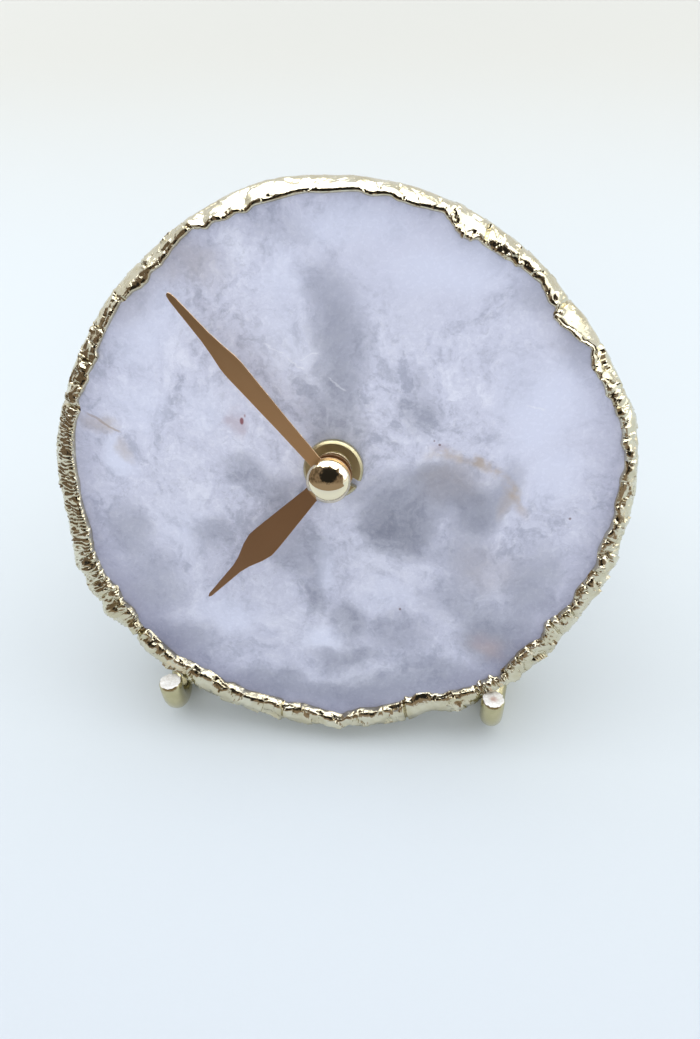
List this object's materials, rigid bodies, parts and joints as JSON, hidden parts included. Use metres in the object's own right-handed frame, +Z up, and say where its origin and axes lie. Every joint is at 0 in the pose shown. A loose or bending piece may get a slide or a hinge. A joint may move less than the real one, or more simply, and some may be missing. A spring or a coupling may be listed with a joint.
{
  "type": "desk clock",
  "caption": "Round quartz slab desk clock with a gilt rough edge, two hands and a clip-in movement, leaning on a bent gold rod easel.",
  "frame": {"origin": "centre of the part's box, on the table that the easel stands on", "axes": "+X to the dial's right, +Y to the back, +Z up; the dial faces -Y and leans back 26 degrees"},
  "size_m": [0.11, 0.0802, 0.0982],
  "materials": {
    "stone": "softly polished",
    "gilding": "electroplated, uneven",
    "gold_rod": "polished, plated",
    "black_case": "fine moulded texture",
    "pale_brass": "polished",
    "gasket_rubber": "matt",
    "nut_brass": "turned",
    "dark_rose": "satin, rose gold",
    "light_rose": "satin, rose gold",
    "white_nylon": "moulded",
    "pinion_brass": "turned",
    "knob_black": "moulded",
    "magnet": "ground",
    "sheet_steel": "rolled",
    "copper_wire": "enamelled",
    "green_board": "lacquered",
    "crystal_can": "plated",
    "black_resin": "cast",
    "cell_wrap": "printed sleeve, plain",
    "contact_steel": "nickel plated"
  },
  "bodies": {
    "stand": {"left_side_rod": "gold_rod", "right_side_rod": "gold_rod", "base_cross_bar": "gold_rod", "rear_cross_bar": "gold_rod"},
    "clock": {"quartz_slab": "stone", "gilt_rim": "gilding", "front_case": "black_case", "rear_case": "black_case", "threaded_bushing": "pale_brass", "rubber_gasket": "gasket_rubber", "slotted_nut": "nut_brass", "train_plate": "white_nylon", "stator": "sheet_steel", "coil_core": "sheet_steel", "coil_bobbin": "white_nylon", "coil_winding": "copper_wire", "circuit_board": "green_board", "quartz_crystal": "crystal_can", "chip_blob": "black_resin", "positive_contact": "contact_steel", "negative_contact": "contact_steel"},
    "cell": {"battery": "cell_wrap"},
    "minute": {"minute_hand": "light_rose", "shaft_cap": "pale_brass", "cannon_pinion": "pinion_brass"},
    "hour": {"hour_hand": "dark_rose", "hour_wheel": "white_nylon"},
    "setting": {"minute_wheel": "white_nylon", "setting_knob": "knob_black"},
    "centre": {"centre_wheel": "white_nylon"},
    "third": {"third_wheel": "white_nylon"},
    "seconds": {"seconds_wheel": "white_nylon"},
    "fifth": {"fifth_wheel": "white_nylon"},
    "magnet": {"rotor": "magnet"}
  },
  "joints": [
    {"name": "clock_lift", "type": "slide", "parent": "stand", "child": "clock", "axis": [0, 0.4384, 0.8988], "range_m": [0, 0.035]},
    {"name": "battery_slide", "type": "slide", "parent": "clock", "child": "cell", "axis": [0, 0.8988, -0.4384], "range_m": [0, 0.02]},
    {"name": "minute_turn", "type": "hinge", "parent": "clock", "child": "minute", "pos_m": [-0.00069, -0.01552, 0.0541], "axis": [0, 0.8988, -0.4384], "continuous": true},
    {"name": "hour_turn", "type": "hinge", "parent": "clock", "child": "hour", "pos_m": [-0.00069, -0.01552, 0.0541], "axis": [0, 0.8988, -0.4384], "continuous": true},
    {"name": "setting_turn", "type": "hinge", "parent": "clock", "child": "setting", "pos_m": [0.01131, -0.01552, 0.0541], "axis": [0, 0.8988, -0.4384], "continuous": true},
    {"name": "fifth_turn", "type": "hinge", "parent": "clock", "child": "fifth", "pos_m": [0.00491, -0.01127, 0.06281], "axis": [0, 0.8988, -0.4384], "continuous": true},
    {"name": "centre_turn", "type": "hinge", "parent": "clock", "child": "centre", "pos_m": [-0.00069, -0.01552, 0.0541], "axis": [0, 0.8988, -0.4384], "continuous": true},
    {"name": "third_turn", "type": "hinge", "parent": "clock", "child": "third", "pos_m": [-0.0095, -0.01228, 0.06074], "axis": [0, 0.8988, -0.4384], "continuous": true},
    {"name": "seconds_turn", "type": "hinge", "parent": "clock", "child": "seconds", "pos_m": [-0.00069, -0.01552, 0.0541], "axis": [0, 0.8988, -0.4384], "continuous": true},
    {"name": "rotor_turn", "type": "hinge", "parent": "clock", "child": "magnet", "pos_m": [0.01337, -0.00992, 0.06558], "axis": [0, 0.8988, -0.4384], "continuous": true}
  ],
  "couplings": [
    {"joint": "hour_turn", "follows": "minute_turn", "ratio": 0.083333},
    {"joint": "setting_turn", "follows": "minute_turn", "ratio": -0.33333},
    {"joint": "rotor_turn", "follows": "fifth_turn", "ratio": -5},
    {"joint": "seconds_turn", "follows": "fifth_turn", "ratio": -0.16667},
    {"joint": "third_turn", "follows": "fifth_turn", "ratio": 0.022222},
    {"joint": "centre_turn", "follows": "fifth_turn", "ratio": -0.0027778}
  ]
}
